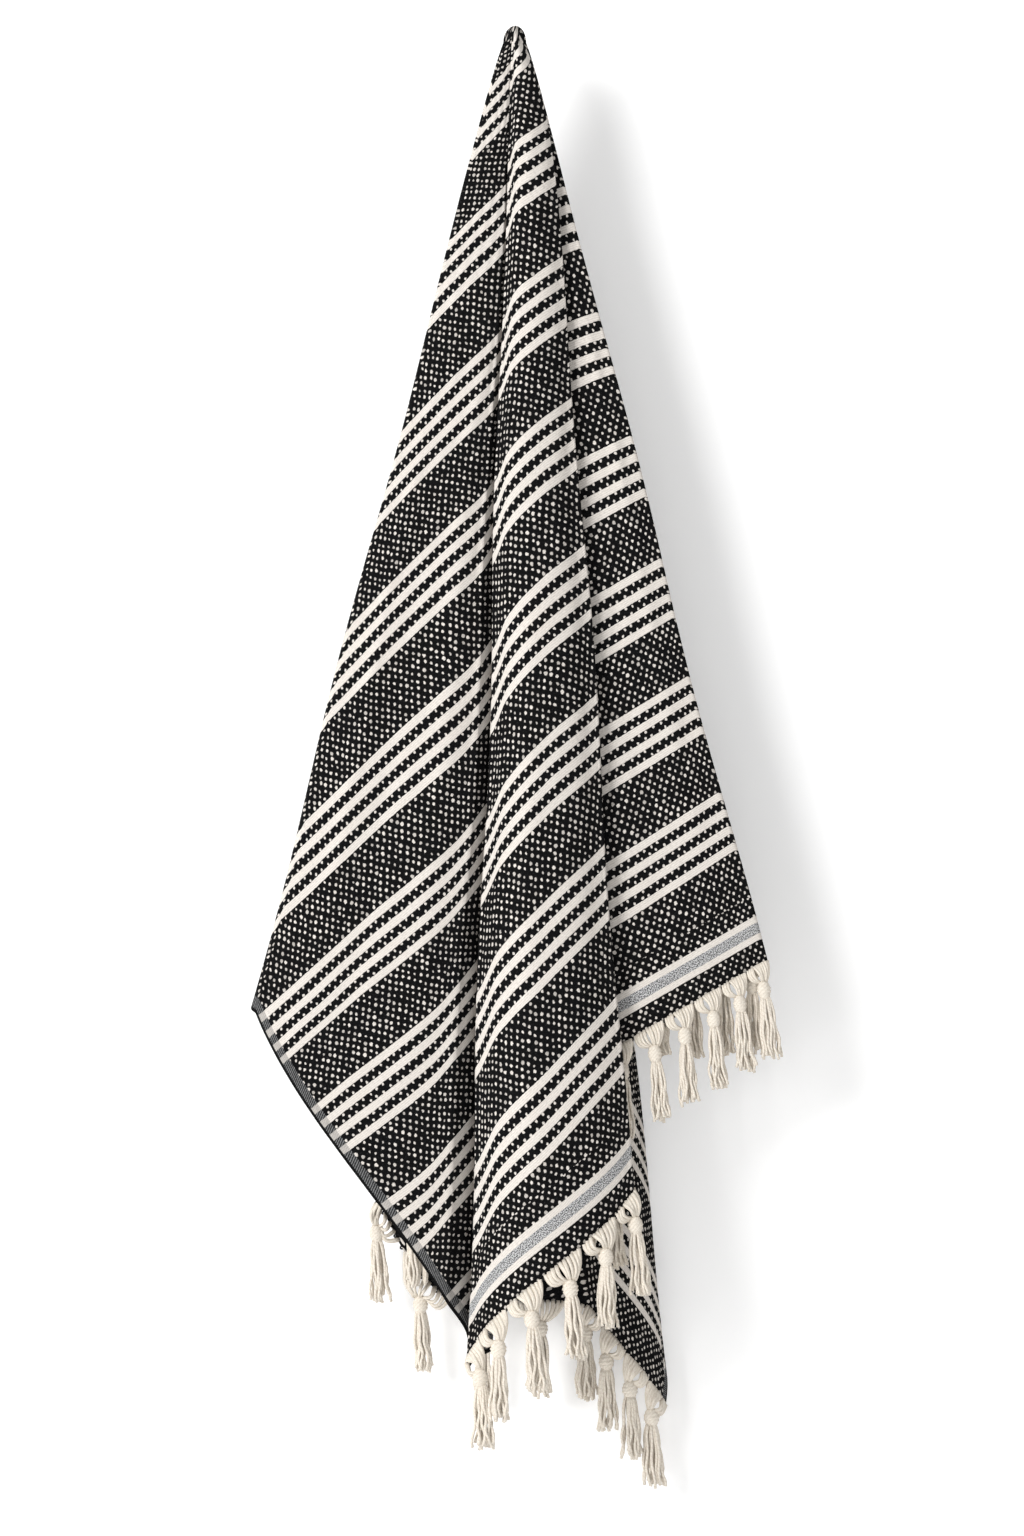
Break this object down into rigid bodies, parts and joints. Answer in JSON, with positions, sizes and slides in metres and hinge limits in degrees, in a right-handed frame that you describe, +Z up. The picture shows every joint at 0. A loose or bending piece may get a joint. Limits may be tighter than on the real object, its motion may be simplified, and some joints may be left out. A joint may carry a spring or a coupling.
{
  "type": "hammam towel",
  "caption": "Flat-woven fringed cotton towel hung from one point of its long side, falling in folds, with knotted tassels along both short ends.",
  "frame": {"origin": "the point that the towel hangs from, at the top of the bunch", "axes": "+Z up, +X to the right and +Y away from the viewer, towards the wall behind"},
  "size_m": [0.4921, 0.1798, 1.3755],
  "materials": {
    "woven_cotton": "matt woven cotton, dark ground with pale dots and cream weft bands",
    "fringe_yarn": "matt twisted cotton yarn"
  },
  "bodies": {
    "root": {"towel_cloth": "woven_cotton", "fringe_front": "fringe_yarn", "fringe_back": "fringe_yarn"}
  },
  "joints": []
}
